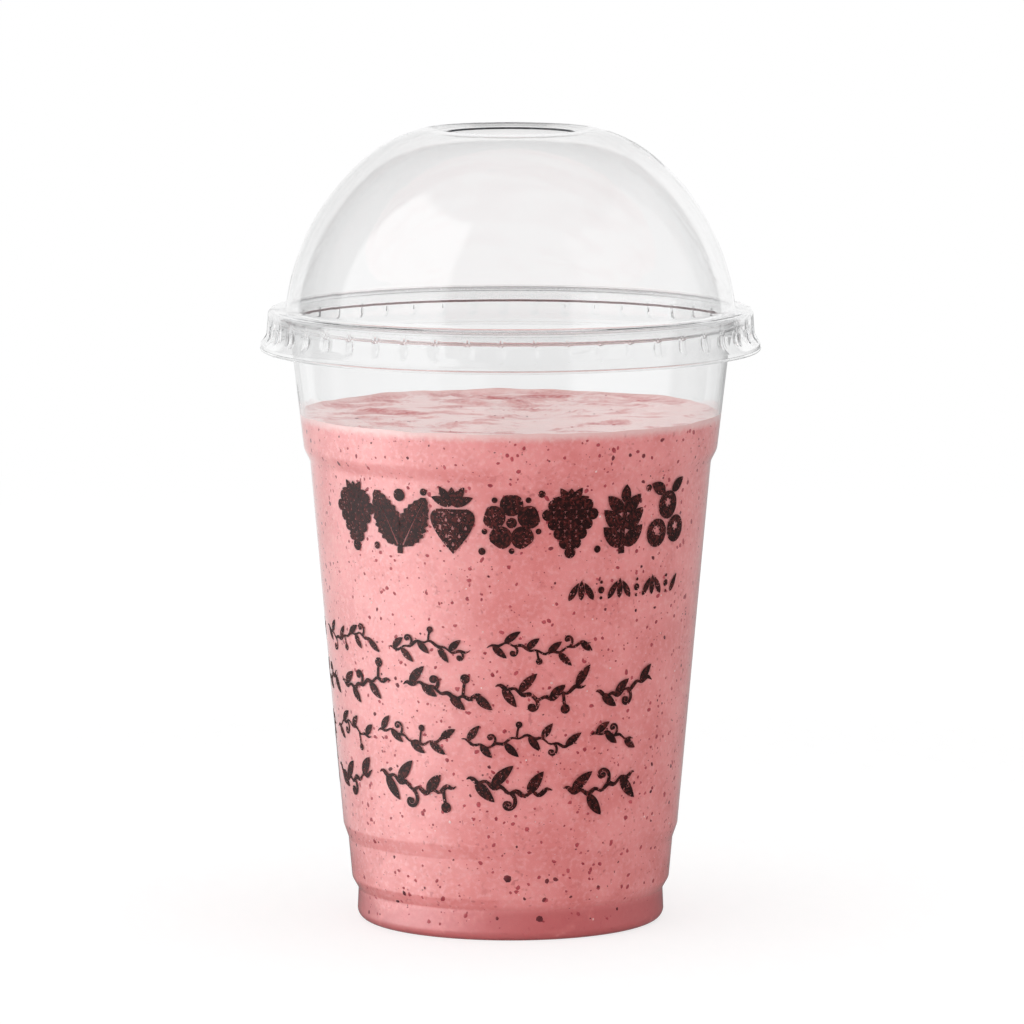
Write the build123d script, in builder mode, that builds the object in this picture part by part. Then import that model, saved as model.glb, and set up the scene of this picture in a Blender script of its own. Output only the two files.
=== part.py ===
"""A smoothie in a clear plastic tumbler with a clear domed lid.

Three solids, all turned about the Z axis: the thin-walled tumbler with its rolled
rim, the domed lid that snaps over that rim, and the drink that fills the tumbler
to a little above its upper step. Millimetres, +Z up, origin at the centre of the base.
"""

import os
from math import acos, cos, degrees, hypot, radians, sin, sqrt, tan

from build123d import *

# Tumbler: overall height, outer radius of its foot, and wall
CUP_HEIGHT = 125.0
FOOT_RADIUS = 31.45
CUP_WALL = 0.45

# Tumbler: the height of each stretch of its side, from the foot up, and how much it widens
FOOT_HEIGHT = 6.4
FOOT_TUCK = 0.25
FOOT_STEP_HEIGHT = 2.3
FOOT_STEP = 1.3
LOWER_BAND_HEIGHT = 8.2
LOWER_BAND_TAPER = 0.75
LOWER_STEP_HEIGHT = 2.9
LOWER_STEP = 1.0
WALL_TAPER = 6.65
UPPER_STEP_HEIGHT = 3.7
UPPER_STEP = 1.4
COLLAR_HEIGHT = 20.6
COLLAR_TAPER = 2.4
RIM_FLARE_HEIGHT = 6.2
FOOT_ROUNDING = 2.05
STEP_ROUNDING = 1.2

# Tumbler: the raised middle of its base, inside the ring that it stands on
STANDING_RING_WIDTH = 5.15
BASE_RECESS = 1.2
BASE_RECESS_SLOPE = 1.8
BASE_ROUNDING = 0.8

# Tumbler: the rolled rim, whose curl starts off the upright by its lean
CURL_RADIUS = 1.4
CURL_LEAN = 15.0
CURL_TURN = 262.0

# Drink: its level below the rim, the low bank that it leaves up the wall, its gap to the wall
DRINK_HEADSPACE = 21.4
DRINK_BANK_HEIGHT = 0.5
DRINK_BANK_WIDTH = 1.6
DRINK_GAP = 0.02

# Lid: its wall, its seat on the rolled rim, and the room round the rim
LID_WALL = 0.4
LID_SEAT_GAP = 0.02
LID_RIM_CLEARANCE = 0.55

# Lid: the dome, whose foot stands just inside the middle of the rolled rim
DOME_FOOT_INSET = 1.22
DOME_FOOT_ROUNDING = 0.9
DOME_CENTRE_DROP = 4.6

# Lid: the straw hole, the ledge and ring round it, and the flatter crown below the ring
STRAW_HOLE_RADIUS = 13.1
LEDGE_WIDTH = 2.7
RING_SLOPE = 0.5
RING_WIDTH = 1.0
RING_STEP = 0.75
RING_ROUNDING = 0.5
CROWN_WIDTH = 11.7
CROWN_DROP = 4.8

# Lid: the skirt that hangs round the rolled rim
SHOULDER_ROUNDING = 1.0
SKIRT_HEIGHT = 5.2
SKIRT_TAPER = 0.35
FLARE_HEIGHT = 2.2
FLARE_WIDTH = 1.32
FLARE_ROUNDING = 2.0
LIP_HEIGHT = 1.0
LIP_ROUNDING = 0.6

# Lid: the row of pointed dents that snap in under the rolled rim
LUG_COUNT = 47
LUG_START_ANGLE = -92.1
LUG_HEIGHT = 2.5
LUG_RADIUS = 1.25
LUG_TIP_RADIUS = 0.15
LUG_RIM_GAP = 0.17

# Tumbler: bends of its inner surface below the collar, as radius, height and rounding
BASE_RECESS_RADIUS = FOOT_RADIUS - STANDING_RING_WIDTH - BASE_RECESS_SLOPE
COLLAR_TOP = CUP_HEIGHT - RIM_FLARE_HEIGHT
COLLAR_BOTTOM = COLLAR_TOP - COLLAR_HEIGHT
WALL_BOTTOM = FOOT_HEIGHT + FOOT_STEP_HEIGHT + LOWER_BAND_HEIGHT + LOWER_STEP_HEIGHT
WALL_HEIGHT = COLLAR_BOTTOM - UPPER_STEP_HEIGHT - WALL_BOTTOM
FLOOR = BASE_RECESS + CUP_WALL
CUP_BENDS = [
    (BASE_RECESS_RADIUS, FLOOR, BASE_ROUNDING),
    (BASE_RECESS_RADIUS + BASE_RECESS_SLOPE, CUP_WALL, BASE_ROUNDING),
    (FOOT_RADIUS - CUP_WALL, CUP_WALL, FOOT_ROUNDING - CUP_WALL),
]
side_radius = FOOT_RADIUS - CUP_WALL
side_height = 0
for stretch_height, widening in (
    (FOOT_HEIGHT, -FOOT_TUCK),
    (FOOT_STEP_HEIGHT, FOOT_STEP),
    (LOWER_BAND_HEIGHT, LOWER_BAND_TAPER),
    (LOWER_STEP_HEIGHT, LOWER_STEP),
    (WALL_HEIGHT, WALL_TAPER),
    (UPPER_STEP_HEIGHT, UPPER_STEP),
):
    side_radius += widening
    side_height += stretch_height
    CUP_BENDS.append((side_radius, side_height, STEP_ROUNDING))
COLLAR_BOTTOM_RADIUS = side_radius

# Tumbler: the collar ends in a flare that leads into the curl of the rim
COLLAR_TOP_RADIUS = COLLAR_BOTTOM_RADIUS + COLLAR_TAPER
CURL_CENTRE_Z = CUP_HEIGHT - CURL_RADIUS
CURL_START_Z = CURL_CENTRE_Z + CURL_RADIUS * sin(radians(CURL_LEAN))
CURL_START_RADIUS = COLLAR_TOP_RADIUS + (CURL_START_Z - COLLAR_TOP) * tan(radians(CURL_LEAN))
CURL_CENTRE_RADIUS = CURL_START_RADIUS + CURL_RADIUS * cos(radians(CURL_LEAN))
RIM_RADIUS = CURL_CENTRE_RADIUS + CURL_RADIUS

# Drink: where its bank meets the collar
DRINK_LEVEL = CUP_HEIGHT - DRINK_HEADSPACE
BANK_TOP = DRINK_LEVEL + DRINK_BANK_HEIGHT
BANK_RADIUS = COLLAR_TOP_RADIUS - (COLLAR_TOP - BANK_TOP) * COLLAR_TAPER / COLLAR_HEIGHT - DRINK_GAP

# Lid: the dome's curve, and where the crown leaves it for the ring
FLANGE_TOP = CUP_HEIGHT + LID_SEAT_GAP + LID_WALL
DOME_FOOT_RADIUS = CURL_CENTRE_RADIUS - DOME_FOOT_INSET
DOME_CENTRE_Z = FLANGE_TOP - DOME_CENTRE_DROP
DOME_RADIUS = hypot(DOME_FOOT_RADIUS, DOME_CENTRE_DROP)
DOME_FOOT_ANGLE = degrees(acos(DOME_FOOT_RADIUS / DOME_RADIUS))
RING_RADIUS = STRAW_HOLE_RADIUS + LEDGE_WIDTH + RING_SLOPE + RING_WIDTH
CROWN_START_ANGLE = degrees(acos((RING_RADIUS + CROWN_WIDTH) / DOME_RADIUS))
LID_TOP = DOME_CENTRE_Z + DOME_RADIUS - CROWN_DROP

# Lid: the skirt's outer surface
SKIRT_RADIUS = RIM_RADIUS + LID_RIM_CLEARANCE + LID_WALL
SKIRT_BOTTOM_RADIUS = SKIRT_RADIUS + SKIRT_TAPER
SKIRT_BOTTOM = FLANGE_TOP - SKIRT_HEIGHT
LIP_RADIUS = SKIRT_BOTTOM_RADIUS + FLARE_WIDTH
LIP_TOP = SKIRT_BOTTOM - FLARE_HEIGHT

# Lid: the dents end level with the bottom of the rolled rim and reach in just short of it
LUG_TOP = CURL_CENTRE_Z - CURL_RADIUS
LUG_BOTTOM = LUG_TOP - LUG_HEIGHT
LUG_WALL_HEIGHT = LUG_HEIGHT + LID_WALL
LUG_REACH_RADIUS = CURL_CENTRE_RADIUS + sqrt(CURL_RADIUS**2 - (CURL_RADIUS - LID_WALL) ** 2) + LUG_RIM_GAP
LUG_AXIS_RADIUS = LUG_REACH_RADIUS + LID_WALL + LUG_RADIUS
STANDING = (Align.CENTER, Align.CENTER, Align.MIN)


def skirt_middle_at(height):
    """Radius of the middle of the skirt's wall at a height."""
    return SKIRT_RADIUS + SKIRT_TAPER * (FLANGE_TOP - height) / SKIRT_HEIGHT - LID_WALL / 2


# The tumbler is its inner surface, from the middle of the floor to the end of the
# rolled rim, thickened outwards by one wall and turned about the axis.
with BuildPart() as cup:
    with BuildSketch(Plane.XZ):
        with BuildLine():
            inside = FilletPolyline(
                (0, FLOOR),
                *[(radius, height) for radius, height, _ in CUP_BENDS],
                (COLLAR_TOP_RADIUS, COLLAR_TOP),
                (CURL_START_RADIUS, CURL_START_Z),
                radius=[rounding for _, _, rounding in CUP_BENDS] + [STEP_ROUNDING],
            )
            JernArc(inside @ 1, inside % 1, CURL_RADIUS, -CURL_TURN)
            offset(amount=CUP_WALL, side=Side.RIGHT)
        make_face()
    revolve(axis=Axis.Z)
cup.part.label = "cup"

# The drink follows the tumbler's inner surface up to its level, and clings to the
# collar in a low bank all round.
with BuildPart() as smoothie:
    with BuildSketch(Plane.XZ):
        with BuildLine():
            outside = FilletPolyline(
                (0, FLOOR + DRINK_GAP),
                *[(radius - DRINK_GAP, height + DRINK_GAP) for radius, height, _ in CUP_BENDS],
                (BANK_RADIUS, BANK_TOP),
                radius=[rounding for _, _, rounding in CUP_BENDS],
            )
            bank_foot = (BANK_RADIUS - DRINK_BANK_WIDTH, DRINK_LEVEL)
            SagittaArc(outside @ 1, bank_foot, -DRINK_BANK_HEIGHT / 3)
            Polyline(bank_foot, (0, DRINK_LEVEL), outside @ 0)
        make_face()
    revolve(axis=Axis.Z)
smoothie.part.label = "smoothie"

# Each dent is a small cone, point down. The plastic round it is a cone one wall
# larger, kept to what lies inside the skirt.
with BuildPart(Plane.XY.offset(LUG_BOTTOM)) as lug_hollows:
    with PolarLocations(LUG_AXIS_RADIUS, LUG_COUNT, start_angle=LUG_START_ANGLE):
        Cone(LUG_TIP_RADIUS, LUG_RADIUS, LUG_HEIGHT, align=STANDING)

with BuildPart(Plane.XY.offset(LUG_BOTTOM)) as lug_walls:
    with PolarLocations(LUG_AXIS_RADIUS, LUG_COUNT, start_angle=LUG_START_ANGLE):
        Cone(LUG_TIP_RADIUS + LID_WALL, LUG_RADIUS + LID_WALL, LUG_WALL_HEIGHT, align=STANDING)
    Cone(
        skirt_middle_at(LUG_BOTTOM),
        skirt_middle_at(LUG_BOTTOM + LUG_WALL_HEIGHT),
        LUG_WALL_HEIGHT,
        align=STANDING,
        mode=Mode.INTERSECT,
    )

# The lid is its outer surface, from the straw hole over the dome and the flange down
# to the lip, thickened inwards by one wall, turned about the axis and dented.
with BuildPart() as lid:
    with BuildSketch(Plane.XZ):
        with BuildLine() as lid_skin:
            ring = FilletPolyline(
                (STRAW_HOLE_RADIUS, LID_TOP - RING_STEP),
                (STRAW_HOLE_RADIUS + LEDGE_WIDTH, LID_TOP - RING_STEP),
                (RING_RADIUS - RING_WIDTH, LID_TOP),
                (RING_RADIUS, LID_TOP),
                radius=RING_ROUNDING,
            )
            dome = CenterArc(
                (0, DOME_CENTRE_Z),
                DOME_RADIUS,
                CROWN_START_ANGLE,
                DOME_FOOT_ANGLE - CROWN_START_ANGLE,
            )
            TangentArc(dome @ 0, ring @ 1, tangent=(dome % 0) * -1)
            FilletPolyline(
                dome @ 1,
                (SKIRT_RADIUS, FLANGE_TOP),
                (SKIRT_BOTTOM_RADIUS, SKIRT_BOTTOM),
                (LIP_RADIUS, LIP_TOP),
                (LIP_RADIUS, LIP_TOP - LIP_HEIGHT),
                radius=[SHOULDER_ROUNDING, FLARE_ROUNDING, LIP_ROUNDING],
            )
            fillet(lid_skin.vertices().sort_by_distance(dome @ 1)[0], DOME_FOOT_ROUNDING)
            offset(amount=LID_WALL, side=Side.RIGHT)
        make_face()
    revolve(axis=Axis.Z)
    add(lug_walls.part)
    add(lug_hollows.part, mode=Mode.SUBTRACT)
lid.part.label = "lid"

os.makedirs("parts", exist_ok=True)
export_step(cup.part, "parts/cup.step")
export_step(lid.part, "parts/lid.step")
export_step(smoothie.part, "parts/smoothie.step")
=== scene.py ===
import bpy
import bmesh
import random
from itertools import cycle
from math import acos, atan2, ceil, cos, degrees, exp, pi, radians, sin, sqrt, tan
from mathutils import Matrix, Vector, noise
from mathutils.geometry import tessellate_polygon


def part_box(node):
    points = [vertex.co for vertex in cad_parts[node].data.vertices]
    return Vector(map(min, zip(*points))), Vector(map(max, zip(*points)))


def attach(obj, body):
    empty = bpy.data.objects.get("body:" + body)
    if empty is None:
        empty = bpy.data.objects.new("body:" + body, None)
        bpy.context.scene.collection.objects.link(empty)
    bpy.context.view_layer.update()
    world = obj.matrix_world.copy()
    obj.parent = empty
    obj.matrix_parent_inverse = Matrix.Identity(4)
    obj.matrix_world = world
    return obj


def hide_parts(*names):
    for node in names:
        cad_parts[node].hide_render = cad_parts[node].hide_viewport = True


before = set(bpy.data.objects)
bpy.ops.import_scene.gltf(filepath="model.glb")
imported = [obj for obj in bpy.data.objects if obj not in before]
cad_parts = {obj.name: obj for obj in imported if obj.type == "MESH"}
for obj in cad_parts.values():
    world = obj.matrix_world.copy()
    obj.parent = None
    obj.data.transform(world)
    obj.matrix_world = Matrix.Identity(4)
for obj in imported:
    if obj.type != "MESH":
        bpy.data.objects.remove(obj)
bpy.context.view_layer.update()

# ---------------------------------------------------------------------------------------
# Tumbler. Thermoformed from clear PET sheet: one thin wall runs from the raised middle of
# the base, up over two stacking steps and the collar, to the rolled rim that stiffens it.
# ---------------------------------------------------------------------------------------
MM = 0.001
cup_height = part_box("cup")[1][2] / MM
cup_wall = 0.45
step_rounding = 1.2
collar_rounding = 3.0
panel_foot = (33.8, 19.8)
panel_head = (40.45, 94.5)
collar_foot = (41.71, 97.0)
collar_top = (44.25, cup_height - 6.2)
curl_radius = 1.4
curl_lean = radians(15)
curl_turn = radians(262)
curl_height = cup_height - curl_radius
cup_bends = [  # radius, height and rounding of each bend of the inner surface
    (24.5, 1.65, 0.8),
    (26.3, cup_wall, 0.8),
    (31.0, cup_wall, 1.6),
    (30.75, 6.4, step_rounding),
    (32.05, 8.7, step_rounding),
    (32.8, 16.9, step_rounding),
    (*panel_foot, step_rounding),
    (*panel_head, collar_rounding),
    (*collar_foot, collar_rounding),
]


def rounded(corners, most_turn=radians(9), guard=0.25):
    """Line through corners of (radius, height, rounding), with an arc at each rounded one.

    A point a little before and after each arc, by the guard, keeps smooth shading inside it.
    """
    line = [Vector(corners[0][:2])]
    for before, corner, after in zip(corners, corners[1:], corners[2:]):
        here = Vector(corner[:2])
        rounding = corner[2]
        if not rounding:
            line.append(here)
            continue
        into = (here - Vector(before[:2])).normalized()
        out = (Vector(after[:2]) - here).normalized()
        turn = atan2(into.x * out.y - into.y * out.x, into.dot(out))
        reach = rounding * tan(abs(turn) / 2)
        start = here - into * reach
        side = 1 if turn > 0 else -1
        spoke = Vector((into.y, -into.x)) * rounding * side
        centre = start - spoke
        if (start - line[-1]).length > 2 * guard:
            line.append(start - into * guard)
        steps = ceil(abs(turn) / most_turn)
        for step in range(steps + 1):
            line.append(centre + Matrix.Rotation(turn * step / steps, 2) @ spoke)
        line.append(here + out * (reach + guard))
    line.append(Vector(corners[-1][:2]))
    return line


def shifted(line, distance):
    """The line moved to its right by a distance, and by no more than twice that at a corner."""
    moved = []
    last = len(line) - 1
    for i, here in enumerate(line):
        into = (here - line[max(i - 1, 0)]).normalized()
        out = (line[min(i + 1, last)] - here).normalized()
        into = into if i else out
        out = out if i < last else into
        along = (into + out).normalized()
        moved.append(here + Vector((along.y, -along.x)) * distance / max(along.dot(into), 0.5))
    return moved


def piece(name, mesh, material, sharpest=radians(40)):
    """A new object from a bmesh, smooth but for its sharp corners, that rides on the body."""
    data = bpy.data.meshes.new(name)
    bmesh.ops.recalc_face_normals(mesh, faces=mesh.faces)
    mesh.to_mesh(data)
    mesh.free()
    data.shade_smooth()
    data.set_sharp_from_angle(angle=sharpest)
    data.materials.append(material)
    made = bpy.data.objects.new(name, data)
    bpy.context.scene.collection.objects.link(made)
    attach(made, "root")
    return made


def place_at(radius, angle, height):
    """A point in metres, at a radius, an angle and a height given in millimetres."""
    return (radius * cos(angle) * MM, radius * sin(angle) * MM, height * MM)


def turned(outline, angles, pressed=None):
    """A bmesh made by turning an outline about the axis, in columns at the angles.

    An outline that starts on the axis ends there too; any other is a closed ring. A function
    given as pressed changes the radius of each point.
    """
    mesh = bmesh.new()
    on_axis = {}
    for i, (radius, height) in enumerate(outline):
        if radius < 1e-6:
            on_axis[i] = mesh.verts.new((0, 0, height * MM))
    columns = []
    for angle in angles:
        column = []
        for i, (radius, height) in enumerate(outline):
            if i in on_axis:
                column.append(on_axis[i])
                continue
            if pressed:
                radius = pressed(radius, height, angle)
            column.append(mesh.verts.new(place_at(radius, angle, height)))
        columns.append(column)
    rows = list(zip(range(len(outline)), range(1, len(outline))))
    if not on_axis:
        rows.append((len(outline) - 1, 0))
    for here, there in zip(columns, columns[1:] + columns[:1]):
        for low, high in rows:
            corners = dict.fromkeys((here[low], there[low], there[high], here[high]))
            if len(corners) > 2:
                mesh.faces.new(corners)
    return mesh


class Wire:
    """The output of a node. Arithmetic on it adds Math nodes; node() adds any other node."""

    def __init__(self, tree, source=None):
        self.tree = tree
        self.source = source

    def node(self, kind, settings=None, inputs=None, output=0):
        """A new node: its settings are set first, then the value or link of each socket."""
        made = self.tree.nodes.new("ShaderNode" + kind)
        for name, value in (settings or {}).items():
            setattr(made, name, value)
        for name, value in (inputs or {}).items():
            if isinstance(value, Wire):
                self.tree.links.new(value.source, made.inputs[name])
            else:
                made.inputs[name].default_value = value
        return Wire(self.tree, made.outputs[output])

    def math(self, operation, *values):
        return self.node("Math", {"operation": operation}, dict(enumerate(values)))

    def __add__(self, other):
        return self.math("ADD", self, other)

    def __sub__(self, other):
        return self.math("SUBTRACT", self, other)

    def __rsub__(self, other):
        return self.math("SUBTRACT", other, self)

    def __mul__(self, other):
        return self.math("MULTIPLY", self, other)

    __radd__ = __add__
    __rmul__ = __mul__

    def ramp(self, low, high, smooth=True):
        """0 where this is below low, 1 where it is above high; high may be the lower one."""
        kind = "SMOOTHSTEP" if smooth else "LINEAR"
        if low > high:
            return 1 - self.ramp(high, low, smooth)
        settings = {"interpolation_type": kind}
        return self.node("MapRange", settings, {"Value": self, "From Min": low, "From Max": high})

    def mix(self, below, above):
        """One colour where this is 0, the other where it is 1."""
        inputs = {"Factor": self, 6: below, 7: above}
        return self.node("Mix", {"data_type": "RGBA"}, inputs, 2)


def blank(material_name):
    """A new material with an empty tree: the material, its tree's first wire, its output node."""
    material = bpy.data.materials.new(material_name)
    material.use_nodes = True
    material.node_tree.nodes.clear()
    output = material.node_tree.nodes.new("ShaderNodeOutputMaterial")
    return material, Wire(material.node_tree), output


def lumps(wire, where, size, detail=2.0, roughness=0.5, distortion=0.0):
    """Noise from 0 to 1 whose lumps are about so many millimetres across."""
    inputs = {"Vector": where, "Scale": 1 / (size * MM), "Detail": detail}
    inputs["Roughness"] = roughness
    inputs["Distortion"] = distortion
    return wire.node("TexNoise", None, inputs)


def clear_plastic():
    """Clear PET: smooth both sides, faintly grey in its depth, with the ripple of a drawn sheet."""
    material, wire, output = blank("clear_plastic")
    place = wire.node("TexCoord", output="Object")
    drawn = wire.node("VectorMath", {"operation": "MULTIPLY"}, {0: place, 1: (1, 1, 0.12)})
    ripple = lumps(wire, place, 16, 1.0) + 0.35 * lumps(wire, drawn, 5, 1.0)
    wavy = wire.node("Bump", None, {"Strength": 1.0, "Distance": 0.06 * MM, "Height": ripple})
    plastic = wire.node("BsdfPrincipled", None, {
        "Base Color": (1, 1, 1, 1),
        "Roughness": 0.0,
        "IOR": 1.5,
        "Transmission Weight": 1.0,
        "Normal": wavy,
    })
    path = wire.tree.nodes.new("ShaderNodeLightPath")
    open_way = wire.node("BsdfTransparent", None, {"Color": (0.97, 0.97, 0.97, 1)})
    for_diffuse = Wire(wire.tree, path.outputs["Is Diffuse Ray"])
    for_lamps = Wire(wire.tree, path.outputs["Is Shadow Ray"])
    seen = wire.node("MixShader", None, {0: for_diffuse, 1: plastic, 2: open_way})
    surface = wire.node("MixShader", None, {0: for_lamps, 1: seen, 2: open_way})
    depth = wire.node("VolumeAbsorption", None, {"Color": (0.80, 0.81, 0.82, 1), "Density": 160.0})
    wire.tree.links.new(surface.source, output.inputs["Surface"])
    wire.tree.links.new(depth.source, output.inputs["Volume"])
    return material


cup_columns = 256
cup_angles = [2 * pi * column / cup_columns for column in range(cup_columns)]
flare_height = curl_height + curl_radius * sin(curl_lean)
flare_radius = collar_top[0] + (flare_height - collar_top[1]) * tan(curl_lean)
curl_centre = Vector((flare_radius + curl_radius * cos(curl_lean), curl_height))
cup_start = (0, cup_bends[0][1], 0)
cup_end = [(*collar_top, step_rounding), (flare_radius, flare_height, 0)]
cup_inside = rounded([cup_start] + cup_bends + cup_end)
curl_spoke = cup_inside[-1] - curl_centre
curl_steps = 26
for step in range(1, curl_steps + 1):
    cup_inside.append(curl_centre + Matrix.Rotation(-curl_turn * step / curl_steps, 2) @ curl_spoke)
cup_outline = cup_inside + shifted(cup_inside, cup_wall)[::-1]
plastic = clear_plastic()
cup = piece("tumbler", turned(cup_outline, cup_angles), plastic)
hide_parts("cup")

# ---------------------------------------------------------------------------------------
# Print. Dark brown ink laid on the tumbler's outside after forming, worn and speckled like
# an old block print: a bold row of berries and leaves, a small row, and four vine garlands.
# ---------------------------------------------------------------------------------------
ink_lift = 0.01
ink_thickness = 0.02
ink_brown = (0.018, 0.0015, 0.0012, 1)
worn_brown = (0.10, 0.012, 0.010, 1)
strip_width = 1.5


def panel_radius(height):
    """Outer radius of the tumbler's long plain wall at a height."""
    share = (height - panel_foot[1]) / (panel_head[1] - panel_foot[1])
    return cup_wall + panel_foot[0] + (panel_head[0] - panel_foot[0]) * share


def ink(name):
    """Brown ink, worn away in small specks, redder where it is thin."""
    material, wire, output = blank(name)
    place = wire.node("TexCoord", output="Object")
    thin = lumps(wire, place, 0.55, 2.0)
    patch = lumps(wire, place, 5, 2.0)
    worn = (thin + 0.25 * patch).ramp(0.55, 0.82)
    colour = worn.mix(ink_brown, worn_brown)
    holes = (lumps(wire, place, 0.42, 1.0) + 0.30 * patch).ramp(0.80, 0.835)
    shader = wire.node("BsdfPrincipled", None, {
        "Base Color": colour,
        "Roughness": 0.65,
        "Specular IOR Level": 0.17,
        "Alpha": 1 - holes,
    })
    wire.tree.links.new(shader.source, output.inputs["Surface"])
    return material


class Block:
    """Ink shapes drawn flat, u to the right and v up in millimetres, then wrapped on the wall."""

    def __init__(self, height):
        self.mesh = bmesh.new()
        self.height = height
        self.radius = panel_radius(height)
        self.origin = 0

    def at(self, turn):
        """Moves the drawing place to so many degrees right of the front."""
        self.origin = radians(turn) * self.radius
        return self

    def point(self, here):
        """A new point of the drawing."""
        return self.mesh.verts.new((self.origin + here[0], here[1], 0))

    def fill(self, outline, holes=()):
        """A filled outline with holes."""
        loops = [[Vector((*here, 0)) for here in loop] for loop in (outline, *holes)]
        corners = [self.point(here) for loop in loops for here in loop]
        for triangle in tessellate_polygon(loops):
            self.mesh.faces.new([corners[i] for i in triangle])

    def stroke(self, path, width, narrowest=0.04):
        """A band along a path; width gives its width at each share of its length."""
        path = [Vector(here) for here in path]
        last = len(path) - 1
        rows = []
        for i, here in enumerate(path):
            along = path[min(i + 1, last)] - path[max(i - 1, 0)]
            across = Vector((along.y, -along.x)).normalized() * max(width(i / last), narrowest) / 2
            rows.append((self.point(here - across), self.point(here + across)))
        for low, high in zip(rows, rows[1:]):
            self.mesh.faces.new((*low, *high[::-1]))

    def dot(self, u, v, radius, corners=14):
        """A round dot."""
        turns = [2 * pi * i / corners for i in range(corners)]
        self.fill([(u + radius * cos(turn), v + radius * sin(turn)) for turn in turns])

    def blade(self, u, v, turn, length, width, bend=0.0, steps=10):
        """A pointed leaf or petal that leaves (u, v) at an angle, and may bend to one side."""
        way = Vector((cos(radians(turn)), sin(radians(turn))))
        side = Vector((-way.y, way.x)) * bend
        shares = [i / steps for i in range(steps + 1)]
        path = [Vector((u, v)) + way * length * share + side * share ** 2 for share in shares]
        self.stroke(path, lambda share: width * sin(pi * share ** 0.8) ** 0.75 if 0 < share < 1 else 0)

    def toothed_leaf(self, u, v, turn, length, width, gap=0.35, teeth=8):
        """A saw-edged leaf in two halves, with its midrib left bare between them."""
        foot = Vector((u, v))
        way = Vector((cos(radians(turn)), sin(radians(turn))))
        for side in (-1, 1):
            across = Vector((-way.y, way.x)) * side
            edge = []
            for tooth in range(2 * teeth):
                share = (tooth + 1) / (2 * teeth + 1)
                reach = width / 2 * sin(pi * share ** 0.8) ** 0.8 * (1.1 if tooth % 2 else 0.9)
                edge.append(foot + way * (length * share + 0.2) + across * (gap / 2 + reach))
            self.fill([foot + across * gap / 2] + edge + [foot + way * length])

    def curl(self, u, v, turn, size, width, turns=1.15, hand=1, steps=22):
        """A tendril that leaves (u, v) at an angle and rolls up into a spiral."""
        here = Vector((u, v))
        way = radians(turn)
        path = [here.copy()]
        for i in range(steps):
            way += hand * 2 * pi * turns / steps * (0.5 + i / steps)
            reach = 2 * pi * size * turns / steps * (1 - 0.72 * i / steps)
            here = here + Vector((cos(way), sin(way))) * reach
            path.append(here)
        self.stroke(path, lambda share: width * (1 - 0.4 * share))
        self.dot(*here, width * 0.7, 10)

    def done(self, name):
        """Cuts the shapes into narrow strips, wraps them on the wall and makes a film of them."""
        spread = [vertex.co.x for vertex in self.mesh.verts]
        cut = min(spread) + strip_width
        while cut < max(spread):
            everything = self.mesh.verts[:] + self.mesh.edges[:] + self.mesh.faces[:]
            bmesh.ops.bisect_plane(self.mesh, geom=everything, plane_co=(cut, 0, 0), plane_no=(1, 0, 0))
            cut += strip_width
        for vertex in self.mesh.verts:
            angle = vertex.co.x / self.radius
            height = self.height + vertex.co.y
            radius = panel_radius(height) + ink_lift
            vertex.co = Vector((radius * sin(angle), -radius * cos(angle), height)) * MM
        for face in self.mesh.faces:
            face.normal_update()
            if face.normal.dot(face.calc_center_median()) < 0:
                face.normal_flip()
        made = bmesh.ops.extrude_face_region(self.mesh, geom=self.mesh.faces[:], use_keep_orig=True)
        for vertex in made["geom"]:
            if isinstance(vertex, bmesh.types.BMVert):
                outward = Vector((vertex.co.x, vertex.co.y, 0)).normalized()
                vertex.co += outward * ink_thickness * MM
        piece(name, self.mesh, print_ink)


def crown(block, height, reach=4.3):
    """The leaves on top of a berry."""
    for turn in (20, 55, 90, 125, 160):
        block.blade(0, height, turn, reach if turn != 90 else reach * 0.8, 1.9)


def rubus(block):
    """A berry of small round drupelets, under its crown."""
    for row, count in enumerate((1, 2, 3, 4, 5, 4)):
        for i in range(count):
            block.dot((i - (count - 1) / 2) * 2.36, -6.2 + row * 1.92, 1.2)
    crown(block, 3.6, 4.0)


def strawberry(block):
    """A heart-shaped berry with its pips left bare, under its crown."""
    rise = 9.6
    steps = 16
    right = []
    for i in range(1, steps):
        share = i / steps
        wide = 5.3 * (1 - (1 - share) ** 1.9) * (1 - share ** 8) ** 0.5
        right.append((wide, -6.4 + rise * share))
    left = [(-u, v) for u, v in right[::-1]]
    pips = []
    pip = ((0, 0.62), (-0.3, 0), (-0.2, -0.28), (0.2, -0.28), (0.3, 0))
    for row, count in enumerate((1, 2, 3, 2, 3)):
        for i in range(count):
            u = (i - (count - 1) / 2) * 2.7
            v = -4.6 + row * 1.65
            pips.append([(u + across, v + along) for across, along in pip])
    block.fill([(0, -6.5)] + right + left, pips)
    crown(block, 3.4, 4.6)


def blossom(block):
    """A flower of five petals round a ringed eye, with a dot between each two petals."""
    for petal in range(5):
        turn = radians(90 + 72 * petal)
        outline = []
        for i in range(18):
            angle = 2 * pi * i / 18
            reach = 2.35 * (1 - 0.16 * exp(-((cos(angle - turn) - 1) ** 2) * 60))
            outline.append((3.7 * cos(turn) + reach * cos(angle), 3.7 * sin(turn) + reach * sin(angle)))
        block.fill(outline)
        block.dot(5.7 * cos(turn + pi / 5), 5.7 * sin(turn + pi / 5), 0.6)
    block.dot(0, 0, 1.1)


def leaf_pair(block):
    """Two broad saw-edged leaves on a short stalk, with a berry between them."""
    block.toothed_leaf(-0.3, -5.6, 116, 12.4, 6.2)
    block.toothed_leaf(0.5, -5.6, 60, 11.8, 6.0)
    block.stroke([(0, -7), (0, -6.2), (0.1, -5.2)], lambda share: 1.3)
    block.dot(0.4, 4.9, 1.3)


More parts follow.
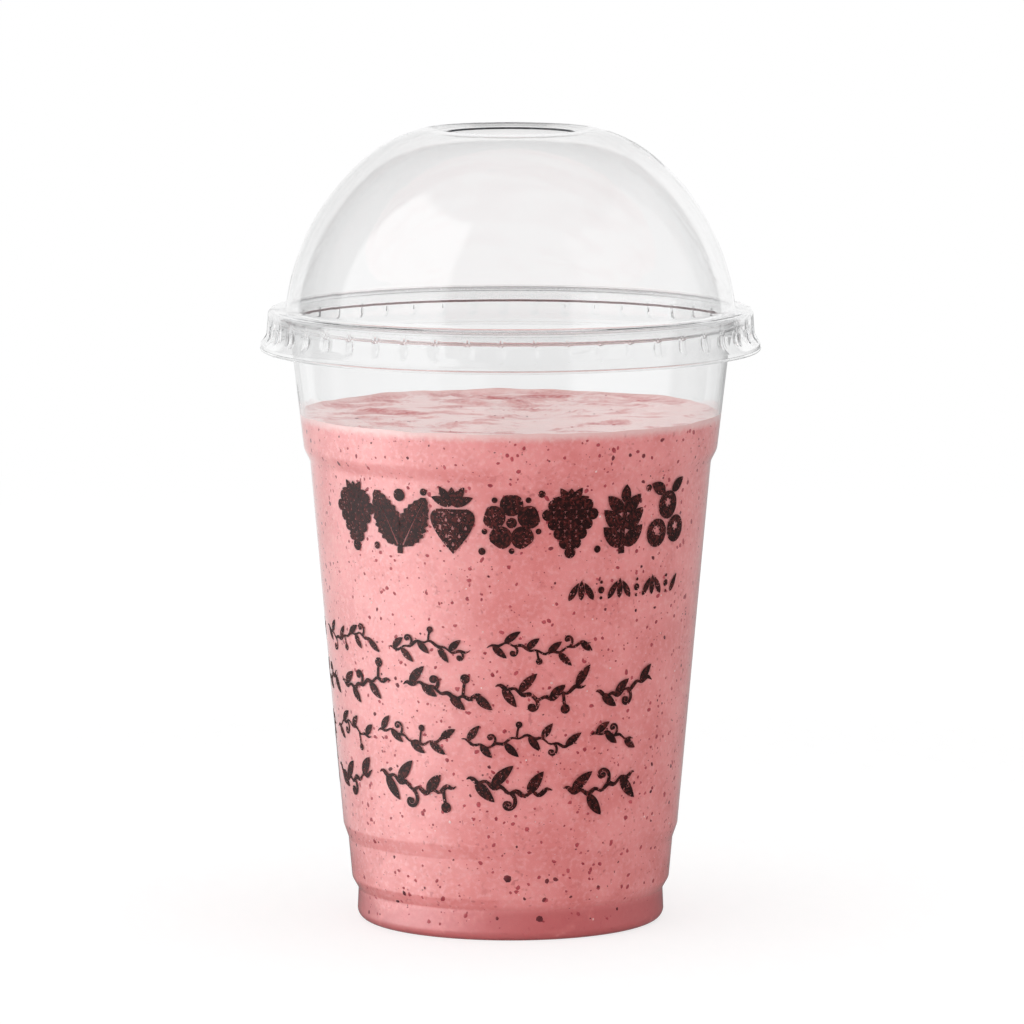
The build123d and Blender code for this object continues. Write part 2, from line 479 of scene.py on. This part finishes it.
def round_berries(block):
    """Three round berries, each with its little crown left bare, and two leaves."""
    for u, v, size in ((-2.9, -3.6, 2.9), (3.1, -3.2, 2.8), (0.1, 1.9, 2.9)):
        turns = [2 * pi * i / 20 for i in range(20)]
        star = [0.95 if i % 4 else 0.5 for i in range(20)]
        block.fill(
            [(u + size * cos(turn), v + size * sin(turn)) for turn in turns],
            [[(u + reach * cos(turn), v + 0.5 + reach * sin(turn)) for turn, reach in zip(turns, star)]],
        )
    block.blade(-1.0, 4.6, 155, 4.6, 2.6)
    block.blade(1.2, 4.6, 35, 4.4, 2.4)


def sprig(block):
    """An upright sprig of leaves in pairs."""
    stalk = [(0.4 * sin(v / 3), v) for v in (-7, -5, -3, -1, 1, 3, 4.6)]
    block.stroke(stalk, lambda share: 1.5 - 0.8 * share)
    for v, length, wide in ((-5.4, 6.0, 3.3), (-1.9, 6.0, 3.3), (1.5, 5.0, 2.8)):
        block.blade(0.2, v, 36, length, wide, 0.5)
        block.blade(-0.2, v, 144, length, wide, -0.5)
    block.blade(0.2, 3.2, 89, 3.8, 2.4)


print_ink = ink("print_ink")
bold_row = Block(86.2)
motifs = (rubus, leaf_pair, strawberry, blossom, rubus, sprig, round_berries)
bold_centre = 0.3
bold_pitch = 17.1
for spot, motif in enumerate(motifs):
    motif(bold_row.at(bold_centre + bold_pitch * (spot - len(motifs) // 2)))
    if spot:
        side = -1 if spot % 2 else 1
        bold_row.at(bold_centre + bold_pitch * (spot - len(motifs) / 2)).dot(0, 5.8 * side, 0.75)
bold_row.done("print_bold_row")

small_row = Block(72.0)
small_start = 18.2
small_pitch = 3.2
leaf_tilts = (60, 90, 120)
for spot in range(13):
    small_row.at(small_start + small_pitch * spot)
    in_group = spot % (len(leaf_tilts) + 1)
    if in_group < len(leaf_tilts):
        tilt = leaf_tilts[in_group]
        small_row.blade(-cos(radians(tilt)), -1.9, tilt, 4.1, 1.4)
    else:
        for rise, size in ((0, 0.72), (1.6, 0.34), (-1.6, 0.34)):
            small_row.dot(0, rise, size)
small_row.done("print_small_row")


def vine(block, length, tall, weight, chance):
    """One length of vine, with leaves, tendrils and berries on both sides of a wavy stem."""
    period = chance.uniform(1.9, 2.3) * tall
    begin = chance.uniform(0, 1)

    def stem(u):
        return tall * (0.13 * sin(2 * pi * (u / period + begin)) + 0.035 * sin(2 * pi * u / 3.1))

    def stem_width(share):
        ends = min(1, 9 * share + 0.3, 9 * (1 - share) + 0.3)
        return weight * (0.8 + 0.2 * sin(23 * share)) * ends

    steps = ceil(length / 0.5)
    block.stroke([(length * i / steps, stem(length * i / steps)) for i in range(steps + 1)], stem_width)
    growths = cycle(("leaf", "leaf", "tendril", "leaf", "berry"))
    u = 0.16 * tall
    hand = chance.choice((-1, 1))
    while u < length - 0.1 * tall:
        v = stem(u)
        growth = next(growths)
        if growth == "leaf":
            turn = hand * chance.uniform(40, 64)
            reach = tall * chance.uniform(0.40, 0.54)
            block.blade(u, v, turn, reach, tall * 0.2, -0.06 * tall * hand)
        elif growth == "tendril":
            size = tall * chance.uniform(0.11, 0.15)
            block.curl(u, v, hand * 38, size, weight * 0.85, 1.15, hand)
        else:
            rise = hand * tall * chance.uniform(0.30, 0.40)
            stalk = [(u, v), (u + 0.2, v + rise * 0.5), (u + 0.5, v + rise)]
            block.stroke(stalk, lambda share: weight * 0.7)
            block.dot(u + 0.5, v + rise, weight * 1.05)
        u += tall * chance.uniform(0.27, 0.34)
        hand = -hand


def garland(name, height, start, end, tall, weight, seed):
    """Short lengths of vine in a line, from one turn to another in degrees right of the front."""
    block = Block(height)
    chance = random.Random(seed)
    reached = radians(start) * block.radius
    stop = radians(end) * block.radius
    shortest_vine = 5
    while reached < stop - shortest_vine:
        length = min(chance.uniform(13, 27), stop - reached)
        vine(block.at(degrees(reached / block.radius)), length, tall, weight, chance)
        reached += length + chance.uniform(2.2, 3.4)
    block.done(name)


garland("print_garland_1", 60.6, start=-112, end=28, tall=7.4, weight=0.66, seed=11)
garland("print_garland_2", 51.6, start=-112, end=50, tall=9.6, weight=0.95, seed=23)
garland("print_garland_3", 41.6, start=-112, end=43, tall=8.0, weight=0.66, seed=35)
garland("print_garland_4", 32.2, start=-112, end=47, tall=11.5, weight=1.05, seed=47)

# ---------------------------------------------------------------------------------------
# Smoothie. Berries blended with yoghurt, poured in to just above the upper step. It wets
# the wall all round, and its top keeps the folds and the foam that it was poured with.
# ---------------------------------------------------------------------------------------
bank_height = 0.5  # of the low bank in which the drink's node ends at the wall
drink_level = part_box("smoothie")[1][2] / MM - bank_height
wall_bite = 0.12
collar_slope = (collar_top[0] - collar_foot[0]) / (collar_top[1] - collar_foot[1])


def wall_radius(height):
    """Radius of the drink's side in the collar, a little way into the wall."""
    return collar_top[0] - (collar_top[1] - height) * collar_slope + wall_bite


drink_end = (wall_radius(drink_level) - wall_bite, drink_level, 0)
drink_side = shifted(rounded([cup_start] + cup_bends + [drink_end]), wall_bite)
drink_side[0].x = 0  # back on the axis, which the shift moved it off
fold_rise = 0.6
swirl_rise = 0.5
crease_rise = 0.5
froth_rise = 0.03
film_mean = 0.6
film_waves = 0.35
film_ripple = 0.2


def surface_rise(x, y):
    """Height of the poured surface over its level, in millimetres."""
    here = Vector((x, y, 0))
    folds = noise.noise(here * 0.055 + Vector((3.1, 8.2, 0)))
    swirl = noise.noise(Vector((x * 0.09 + folds * 1.4, y * 0.16 + folds * 0.8, 5.3)))
    creases = 1 - abs(noise.noise(Vector((x * 0.11 + swirl, y * 0.19, 2.7)))) * 2
    froth = noise.noise(here * 0.45)
    rise = fold_rise * folds + swirl_rise * swirl + crease_rise * creases ** 3 - crease_rise / 2
    return rise + froth_rise * froth


def film_height(angle):
    """How far the drink clings to the wall over its level, all round."""
    here = Vector((cos(angle), sin(angle), 0.4))
    return film_mean + film_waves * noise.noise(here * 2.6) + film_ripple * noise.noise(here * 9)


def smoothie_mesh(rings=72, film_rows=4, calm_edge=2.5, film_foot=0.7):
    """The drink: its side follows the tumbler's inner surface, its top is the poured surface.

    The top is calmer near the wall, by calm_edge, and runs up into the film there, by film_foot.
    """
    edge_radius = wall_radius(drink_level)
    mesh = bmesh.new()
    centre_bottom = mesh.verts.new(place_at(0, 0, drink_side[0].y))
    centre_top = mesh.verts.new(place_at(0, 0, drink_level + surface_rise(0, 0)))
    columns = []
    for angle in cup_angles:
        column = [centre_bottom]
        for radius, height in drink_side[1:-1]:
            column.append(mesh.verts.new(place_at(radius, angle, height)))
        film = film_height(angle)
        for row in range(1, film_rows + 1):
            height = drink_level + film * row / film_rows
            column.append(mesh.verts.new(place_at(wall_radius(height), angle, height)))
        for ring in range(1, rings):
            from_wall = edge_radius * (ring / rings) ** 1.5
            radius = edge_radius - from_wall
            calm = 1 - 0.7 * exp(-from_wall / calm_edge)
            rise = film * exp(-from_wall / film_foot)
            rise += calm * surface_rise(radius * cos(angle), radius * sin(angle))
            column.append(mesh.verts.new(place_at(radius, angle, drink_level + rise)))
        column.append(centre_top)
        columns.append(column)
    for here, there in zip(columns, columns[1:] + columns[:1]):
        for low, high in zip(range(len(here)), range(1, len(here))):
            mesh.faces.new(dict.fromkeys((here[low], there[low], there[high], here[high])))
    return mesh


deep_pink = (0.75, 0.185, 0.18, 1)
pale_pink = (0.845, 0.26, 0.255, 1)
grain_pink = (0.89, 0.38, 0.37, 1)
pulp_red = (0.60, 0.10, 0.105, 1)
pip_red = (0.46, 0.05, 0.06, 1)
# painted shade: the darker red painted at the foot of the drink
foot_shade_red = (0.56, 0.085, 0.09, 1)
edge_foam = (0.88, 0.60, 0.58, 1)
crease_red = (0.58, 0.15, 0.15, 1)
crease_pink = (0.76, 0.38, 0.37, 1)
fold_foam = (0.94, 0.71, 0.69, 1)
grain_foam = (0.95, 0.77, 0.75, 1)
foam_pip = (0.62, 0.16, 0.165, 1)
wall_foam = (0.92, 0.66, 0.64, 1)


def smoothie_material():
    """Blended berries: mottled pink with darker pulp, paler foam on top and along the edge, and painted
    shade in darker red at the foot.
    """
    material, wire, output = blank("smoothie")
    place = wire.node("TexCoord", output="Object")
    x = wire.node("SeparateXYZ", None, {0: place}, "X")
    y = wire.node("SeparateXYZ", None, {0: place}, "Y")
    height = wire.node("SeparateXYZ", None, {0: place}, "Z")
    facing = wire.node("SeparateXYZ", None, {0: wire.node("NewGeometry", output="Normal")}, "Z")
    high = height.ramp((drink_level - 1.5) * MM, (drink_level - 0.9) * MM)
    on_top = facing.ramp(0.25, 0.6) * high

    mottle = lumps(wire, place, 9, 3.0, 0.55, 0.4)
    grain = lumps(wire, place, 0.9, 2.0)
    pulp = lumps(wire, place, 3.0, 3.0, 0.6, 0.6).ramp(0.60, 0.74)
    pips = lumps(wire, place, 1.1, 1.0).ramp(0.66, 0.76)
    body = mottle.ramp(0.32, 0.68).mix(deep_pink, pale_pink)
    body = (0.5 * grain.ramp(0.44, 0.75)).mix(body, grain_pink)
    body = (0.5 * pulp).mix(body, pulp_red)
    body = (0.5 * pips).mix(body, pip_red)
    ragged = height + 1.6 * MM * lumps(wire, place, 1.8, 4.0, 0.7)
    foam_edge = ragged.ramp((drink_level - 0.7) * MM, (drink_level + 1.3) * MM)
    body = (0.8 * foam_edge).mix(body, edge_foam)
    # Painted shade: patches of darker red at the foot of the drink, below about 8 mm, stand in for the
    # shade near the table.
    foot_shade = height.ramp(8 * MM, 5 * MM) * mottle.ramp(0.25, 0.5)
    body = (0.85 * foot_shade).mix(body, foot_shade_red)

    streaks = wire.node("VectorMath", {"operation": "MULTIPLY"}, {0: place, 1: (1, 1.6, 1)})
    thinner = 0.11 * y.ramp(14 * MM, 36 * MM) + 0.07 * x.ramp(-12 * MM, -36 * MM)
    folds = lumps(wire, streaks, 13, 4.0, 0.55, 1.0) - thinner
    foam = folds.ramp(0.28, 0.40).mix(crease_red, crease_pink)
    foam = folds.ramp(0.38, 0.50).mix(foam, fold_foam)
    foam = (0.4 * grain.ramp(0.4, 0.7)).mix(foam, grain_foam)
    foam = (0.4 * pips).mix(foam, foam_pip)
    flat = wire.node("VectorMath", {"operation": "MULTIPLY"}, {0: place, 1: (1, 1, 0)})
    outward = wire.node("VectorMath", {"operation": "LENGTH"}, {0: flat}, "Value")
    outward = outward + 4 * MM * lumps(wire, place, 4, 4.0, 0.7)
    edge_radius = wall_radius(drink_level)
    by_wall = outward.ramp((edge_radius + 0.2) * MM, (edge_radius + 2.0) * MM)
    foam = (0.75 * by_wall).mix(foam, wall_foam)
    colour = on_top.mix(body, foam)

    froth = wire.node("TexVoronoi", {"feature": "SMOOTH_F1"}, {"Vector": place, "Scale": 1100.0})
    uneven = 0.6 * lumps(wire, place, 2.2, 3.0) + 0.25 * froth
    bumpy = wire.node("Bump", None, {"Strength": 0.5, "Distance": 0.4 * MM, "Height": uneven})
    shader = wire.node("BsdfPrincipled", None, {
        "Base Color": colour,
        "Roughness": 0.55 - 0.1 * on_top,
        "IOR": 1.45,
        "Coat Weight": 1 - 0.6 * on_top,
        "Coat Roughness": 0.65,
        "Normal": bumpy,
    })
    wire.tree.links.new(shader.source, output.inputs["Surface"])
    return material


drink = piece("smoothie_drink", smoothie_mesh(), smoothie_material())
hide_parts("smoothie")

# ---------------------------------------------------------------------------------------
# Berry bits. Flecks of red skin, brown seeds and small pale bubbles hang in the drink, and
# those at its side are pressed against the tumbler's wall.
# ---------------------------------------------------------------------------------------
lowest_bit = 2.6
highest_bit = drink_level - 0.8
bare_edge = 2.5
base_edge = 30


def side_radius(height):
    """Radius of the drink's side, outside the edge of its base, at a height."""
    for low, high in zip(drink_side, drink_side[1:]):
        if low.x > base_edge and low.y <= height <= high.y and high.y > low.y:
            return low.lerp(high, (height - low.y) / (high.y - low.y)).x
    return drink_side[-1].x


def flake(mesh, centre, outward, size, long, thick, chance, corners=7, sunk=0.03):
    """An uneven lens-shaped bit, half sunk in the drink, drawn out to one side by long."""
    across = outward.orthogonal().normalized()
    turn = chance.uniform(0, 2 * pi)
    across = Matrix.Rotation(turn, 3, outward) @ across
    along = outward.cross(across)
    rim = []
    shoulder = []
    for corner in range(corners):
        angle = 2 * pi * corner / corners
        reach = size * chance.uniform(0.75, 1.2)
        flat = across * cos(angle) * reach * long + along * sin(angle) * reach
        rim.append(mesh.verts.new((centre + flat - outward * sunk) * MM))
        shoulder.append(mesh.verts.new((centre + flat * 0.62 + outward * thick * 0.75) * MM))
    top = mesh.verts.new((centre + outward * thick) * MM)
    under = mesh.verts.new((centre - outward * thick * 1.5) * MM)
    for corner in range(corners):
        after = (corner + 1) % corners
        mesh.faces.new((top, shoulder[corner], shoulder[after]))
        mesh.faces.new((shoulder[corner], rim[corner], rim[after], shoulder[after]))
        mesh.faces.new((under, rim[after], rim[corner]))


def scattered(on_side, on_top, smallest, largest, longest, thick, seed, placed=(), probe=0.4):
    """A bmesh of bits at random over the drink's side and top, after those in placed.

    Small ones are the most common. A bit at the side leans with the wall's slope, taken between
    a probe below and a probe above it.
    """
    chance = random.Random(seed)
    mesh = bmesh.new()
    spots = list(placed)
    for _ in range(on_side):
        height = lowest_bit + (highest_bit - lowest_bit) * chance.random() ** 0.93
        size = smallest + (largest - smallest) * chance.random() ** 2.4
        spots.append((chance.uniform(-180, 180), height, size))
    for turn, height, size in spots:
        radius = side_radius(height)
        slope = (side_radius(height + probe) - side_radius(height - probe)) / (2 * probe)
        angle = radians(turn)
        outward = Vector((sin(angle), -cos(angle), -slope)).normalized()
        centre = Vector((radius * sin(angle), -radius * cos(angle), height))
        flake(mesh, centre, outward, size, chance.uniform(1, longest), thick, chance)
    for _ in range(on_top):
        angle = chance.uniform(0, 2 * pi)
        radius = (wall_radius(drink_level) - bare_edge) * sqrt(chance.random())
        x = radius * cos(angle)
        y = radius * sin(angle)
        centre = Vector((x, y, drink_level + surface_rise(x, y)))
        size = smallest + (largest - smallest) * chance.random() ** 2
        flake(mesh, centre, Vector((0, 0, 1)), size, chance.uniform(1, longest), thick, chance)
    return mesh


def bits(name, dark, light, gloss):
    """One kind of bit: its colour runs from dark to light from one bit to the next."""
    material, wire, output = blank(name)
    place = wire.node("TexCoord", output="Object")
    each = lumps(wire, place, 2.3, 1.0).ramp(0.3, 0.7, False)
    inside = lumps(wire, place, 0.4, 2.0).ramp(0.3, 0.8)
    colour = (0.7 * each + 0.3 * inside).mix(dark, light)
    shader = wire.node("BsdfPrincipled", None, {
        "Base Color": colour,
        "Roughness": 0.5,
        "Specular IOR Level": gloss,
    })
    wire.tree.links.new(shader.source, output.inputs["Surface"])
    return material


skins = scattered(
    on_side=3200, on_top=30, smallest=0.11, largest=0.52, longest=1.5, thick=0.07, seed=3,
)
skin_red = bits("berry_skins", dark=(0.28, 0.022, 0.035, 1), light=(0.62, 0.11, 0.125, 1), gloss=0.15)
piece("berry_skins", skins, skin_red)
big_seeds = (  # degrees right of the front, height and size
    (-1, 13.2, 0.82),
    (13, 12.6, 0.6),
    (16, 12.9, 0.5),
    (11, 4.6, 0.72),
    (5, 9.0, 0.3),
    (33, 10.6, 0.42),
    (-5, 4.8, 0.36),
    (44, 5.2, 0.4),
    (-38, 52.0, 0.5),
    (29, 98.9, 0.46),
)
seeds = scattered(
    on_side=430, on_top=10, smallest=0.12, largest=0.5, longest=1.5, thick=0.12, seed=5, placed=big_seeds,
)
seed_brown = bits("berry_seeds", dark=(0.06, 0.012, 0.015, 1), light=(0.28, 0.04, 0.05, 1), gloss=0.12)
piece("berry_seeds", seeds, seed_brown)
bubbles = scattered(
    on_side=260, on_top=40, smallest=0.1, largest=0.32, longest=1.1, thick=0.07, seed=9,
)
bubble_pink = bits("foam_bubbles", dark=(0.80, 0.42, 0.40, 1), light=(0.92, 0.72, 0.70, 1), gloss=0.5)
piece("foam_bubbles", bubbles, bubble_pink)

# ---------------------------------------------------------------------------------------
# Lid. A clear PET dome, thermoformed like the tumbler: a straw hole in a raised ring, the
# dome, a flat flange on the rolled rim, and a skirt whose row of dents clips under that rim.
# ---------------------------------------------------------------------------------------
lid_wall = 0.4
seat_gap = 0.02
lid_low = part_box("lid")[0][2] / MM
lid_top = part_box("lid")[1][2] / MM
lid_reach = 51.0
bead = 0.35
bead_steps = 12
bead_centre = Vector((lid_reach - bead, lid_low + bead))
bead_bite = acos(lid_wall / 2 / bead)  # the turn at which the lip's outer skin enters its bead
lip_radius = bead_centre.x + lid_wall / 2
flange_top = cup_height + seat_gap + lid_wall
dome_foot = Vector((45.766, flange_top))
dome_centre = Vector((0, flange_top - 4.6))
dome_radius = (dome_foot - dome_centre).length
crown_start = 29.0
ring_end = Vector((17.3, lid_top))
ring_floor = lid_top - 0.75
ring_bends = [  # radius, height and rounding of each bend from the straw hole up to the ring
    (13.1, ring_floor, 0),
    (14.4, ring_floor, 1.0),
    (16.3, lid_top, 1.2),
    (*ring_end, 0),
]
skirt_bends = [  # the same, from the dome's foot over the flange and down the skirt to the lip
    (*dome_foot, 0.9),
    (49.336, flange_top, 1.0),
    (49.686, 120.22, 2.0),
    (lip_radius, 118.4, 0.6),
    (lip_radius, bead_centre.y + bead * sin(bead_bite), 0),
]
dent_count = 47
dent_start = radians(-92.1)
dent_low = 119.3
dent_high = 122.5
dent_depth = 0.75
dent_wide = radians(1.2)
dent_steps = 10
dent_rows = [dent_low + (dent_high - dent_low) * row / dent_steps for row in range(dent_steps + 1)]


def arc(centre, start, end, most_step):
    """Points from start to end, both left out, on the circle round centre through them."""
    first = start - centre
    turn = -first.angle_signed(end - centre)
    steps = ceil(abs(turn) * first.length / most_step)
    return [centre + Matrix.Rotation(turn * i / steps, 2) @ first for i in range(1, steps)]


def with_rows(line, heights):
    """The line, with a point more wherever it crosses one of the heights."""
    full = [line[0]]
    for before, after in zip(line, line[1:]):
        for height in sorted(heights, reverse=True):
            if before.y - 1e-4 > height > after.y + 1e-4:
                full.append(before.lerp(after, (before.y - height) / (before.y - after.y)))
        full.append(after)
    return full


def lid_skin():
    """The lid's outer surface, from the edge of the straw hole to the bottom of the lip."""
    dome_start = dome_centre + Vector((crown_start, sqrt(dome_radius ** 2 - crown_start ** 2)))
    outward = (dome_start - dome_centre).normalized()
    chord = ring_end - dome_start
    crown_radius = -chord.length_squared / (2 * chord.dot(outward))
    crown_centre = dome_start - outward * crown_radius
    crown = [(*point, 0) for point in arc(crown_centre, ring_end, dome_start, 1.8)]
    dome = [(*point, 0) for point in arc(dome_centre, dome_start, dome_foot, 2.2)]
    return with_rows(rounded(ring_bends + crown + [(*dome_start, 0)] + dome + skirt_bends), dent_rows)


lid_line = lid_skin()
lid_bead = []
for step in range(1, bead_steps):
    turn = bead_bite - (pi + 2 * bead_bite) * step / bead_steps
    lid_bead.append(bead_centre + Vector((cos(turn), sin(turn))) * bead)
lid_outline = lid_line + lid_bead + shifted(lid_line, lid_wall)[::-1]
dent_pitch = 2 * pi / dent_count
dent_columns = [radians(offset) for offset in (-2.5, -1.2, -0.84, -0.42, 0, 0.42, 0.84, 1.2, 2.5)]
dent_angles = [dent_start + dent * dent_pitch for dent in range(dent_count)]
lid_angles = [angle + offset for angle in dent_angles for offset in dent_columns]


def dented(radius, height, angle):
    """Radius of the skirt, less in a dent. Both skins go in together, as in a pressed sheet."""
    if radius < dome_foot.x or not dent_low < height < dent_high:
        return radius
    away = (angle - dent_start + dent_pitch / 2) % dent_pitch - dent_pitch / 2
    across = min(abs(away) / dent_wide, 1)
    share = (height - dent_low) / (dent_high - dent_low)
    return radius - dent_depth * (1 - (1 - share) ** 3) * (1 - share ** 6) * (1 - across ** 2) ** 2


lid = piece("domed_lid", turned(lid_outline, lid_angles, dented), plastic)
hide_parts("lid")

# ---------------------------------------------------------------------------------------
# Stage: a pale table that runs off into a white studio, soft lamps on the left, in front, on
# the right and overhead, and the camera a little above the rim, looking slightly down.
# ---------------------------------------------------------------------------------------
floor_size = 3.0
table_glow = 0.70
bounced_glow = 0.12
ambient = 0.42
lamp_aim = Vector((0, 0, 0.07))


def floor_material():
    """White table, matt, with a glow that keeps it as white as the studio but for the shadow.

    Polished surfaces see it bright on the left and behind, and darker at the front.
    """
    material, wire, output = blank("white_table")
    place = wire.node("TexCoord", output="Object")
    speckle = lumps(wire, place, 4, 2.0)
    tone = speckle.ramp(0.3, 0.7).mix((0.34, 0.34, 0.34, 1), (0.36, 0.36, 0.36, 1))
    path = wire.tree.nodes.new("ShaderNodeLightPath")
    matt = Wire(wire.tree, path.outputs["Is Diffuse Ray"])
    shown = Wire(wire.tree, path.outputs["Is Camera Ray"])
    shown = shown + Wire(wire.tree, path.outputs["Is Glossy Ray"])
    shown = (shown + Wire(wire.tree, path.outputs["Is Transmission Ray"])).ramp(0, 1)
    reflected = Wire(wire.tree, path.outputs["Glossy Depth"]).ramp(0, 1)
    x = wire.node("SeparateXYZ", None, {0: place}, "X")
    y = wire.node("SeparateXYZ", None, {0: place}, "Y")
    far = wire.node("VectorMath", {"operation": "LENGTH"}, {0: place}, "Value").ramp(0.25, 0.8)
    tone = (far + reflected).ramp(0, 1).mix(tone, (0, 0, 0, 1))
    mirror = 0.15 + 0.45 * x.ramp(-0.05, -0.10) + 0.1 * x.ramp(0.10, 0.25) + 0.25 * y.ramp(0.0, 0.15)
    plain = wire.node("BsdfPrincipled", None, {
        "Base Color": matt.mix(tone, (0.85, 0.85, 0.85, 1)),
        "Roughness": 0.9,
        "Specular IOR Level": 0.0,
    })
    seen = table_glow + (1 - table_glow) * (1.4 * far).ramp(0, 1, False)
    level = shown * (seen * (1 - reflected) + mirror * reflected) + bounced_glow * matt
    glow = wire.node("Emission", None, {"Color": (1, 1, 1, 1), "Strength": level})
    surface = wire.node("AddShader", None, {0: plain, 1: glow})
    wire.tree.links.new(surface.source, output.inputs["Surface"])
    material.cycles.emission_sampling = "NONE"
    return material


floor_mesh = bmesh.new()
bmesh.ops.create_grid(floor_mesh, x_segments=8, y_segments=8, size=floor_size / 2)
floor_data = bpy.data.meshes.new("table")
floor_mesh.to_mesh(floor_data)
floor_mesh.free()
floor_data.materials.append(floor_material())
floor = bpy.data.objects.new("table", floor_data)
bpy.context.scene.collection.objects.link(floor)


def studio():
    """The room: white where it is seen, and a plain soft light on matt surfaces.

    Polished surfaces mirror the white wall behind, a window-like panel on each side, and the
    dark between them.
    """
    world = bpy.data.worlds.new("studio")
    bpy.context.scene.world = world
    world.use_nodes = True
    world.node_tree.nodes.clear()
    wire = Wire(world.node_tree)
    output = world.node_tree.nodes.new("ShaderNodeOutputWorld")
    way = wire.node("TexCoord", output="Generated")
    x = wire.node("SeparateXYZ", None, {0: way}, "X")
    y = wire.node("SeparateXYZ", None, {0: way}, "Y")
    z = wire.node("SeparateXYZ", None, {0: way}, "Z")
    azimuth = wire.math("ARCTAN2", x, -1 * y) * (180 / pi)
    tilt = wire.math("ARCSINE", z) * (180 / pi)

    def panel(left, right, low, high, edge=3.0):
        """1 inside a range of azimuth and tilt, in degrees, where azimuth 0 is the front."""
        across = azimuth.ramp(left - edge, left + edge) * azimuth.ramp(right + edge, right - edge)
        return across * tilt.ramp(low - edge, low + edge) * tilt.ramp(high + edge, high - edge)

    behind = y.ramp(cos(radians(44)), cos(radians(38)))
    left_panel = panel(-100, -34, -30, 58)
    right_panel = panel(40, 117, -25, 50)
    front = y.ramp(0.0, -0.35) + z.ramp(0.5, 0.8)
    dark = 0.26 - 0.06 * front.ramp(0, 1)
    mirror = dark + (1 - dark) * behind + left_panel + 0.28 * right_panel
    path = wire.tree.nodes.new("ShaderNodeLightPath")
    bounces = Wire(wire.tree, path.outputs["Glossy Depth"])
    reflected = bounces.ramp(0, 1)
    mirror = mirror + 0.6 * bounces.ramp(1, 2) * (1 - behind)
    matt = Wire(wire.tree, path.outputs["Is Diffuse Ray"])
    level = (1 - reflected) + reflected * mirror
    level = level * (1 - matt) + matt * ambient
    glow = wire.node("Background", None, {"Color": (1, 1, 1, 1), "Strength": level})
    wire.tree.links.new(glow.source, output.inputs["Surface"])
    world.cycles.sampling_method = "NONE"


studio()


def lamp(name, azimuth, distance, height, width, tall, radiance, glossy=False):
    """A soft panel turned to the drink, that lights matt surfaces, or satin ones if glossy."""
    light = bpy.data.lights.new(name, "AREA")
    light.shape = "RECTANGLE"
    light.size = width
    light.size_y = tall
    light.energy = radiance * pi * width * tall
    light.cycles.use_multiple_importance_sampling = False
    made = bpy.data.objects.new(name, light)
    turn = radians(azimuth)
    made.location = (distance * sin(turn), -distance * cos(turn), height)
    made.rotation_euler = (lamp_aim - made.location).to_track_quat("-Z", "Y").to_euler()
    made.visible_camera = False
    made.visible_transmission = False
    made.visible_glossy = glossy
    made.visible_diffuse = not glossy
    bpy.context.scene.collection.objects.link(made)


lamp("left_panel", -60, distance=1.0, height=0.3, width=1.2, tall=0.6, radiance=0.82)
lamp("front_panel", -6, distance=1.0, height=0.3, width=1.0, tall=0.6, radiance=1.02)
lamp("right_panel", 75, distance=1.0, height=0.3, width=1.2, tall=0.6, radiance=0.36)
lamp("top_panel", 0, distance=0.0, height=1.1, width=1.0, tall=1.0, radiance=2.0)
lamp("left_sheen", -67, distance=1.0, height=0.05, width=1.2, tall=0.09, radiance=68.0, glossy=True)
lamp("right_sheen", 82, distance=1.0, height=0.05, width=1.0, tall=0.09, radiance=5.0, glossy=True)

lens = bpy.data.cameras.new("camera")
lens.lens = 275.4
lens.sensor_width = 36
camera = bpy.data.objects.new("camera", lens)
looking_down = radians(7)
camera_distance = 1.6
aim_height = 0.0835
camera_aside = 0.0003
camera_height = aim_height + camera_distance * sin(looking_down)
camera.location = (camera_aside, -camera_distance * cos(looking_down), camera_height)
camera.rotation_euler = (pi / 2 - looking_down, 0, 0)
bpy.context.scene.collection.objects.link(camera)
bpy.context.scene.camera = camera

# Light crosses many thin walls, and is mirrored to and fro inside each: it needs many bounces.
scene = bpy.context.scene
scene.view_settings.view_transform = "Standard"
scene.cycles.max_bounces = 72
scene.cycles.transmission_bounces = 40
scene.cycles.transparent_max_bounces = 32
scene.cycles.glossy_bounces = 64
scene.cycles.diffuse_bounces = 3
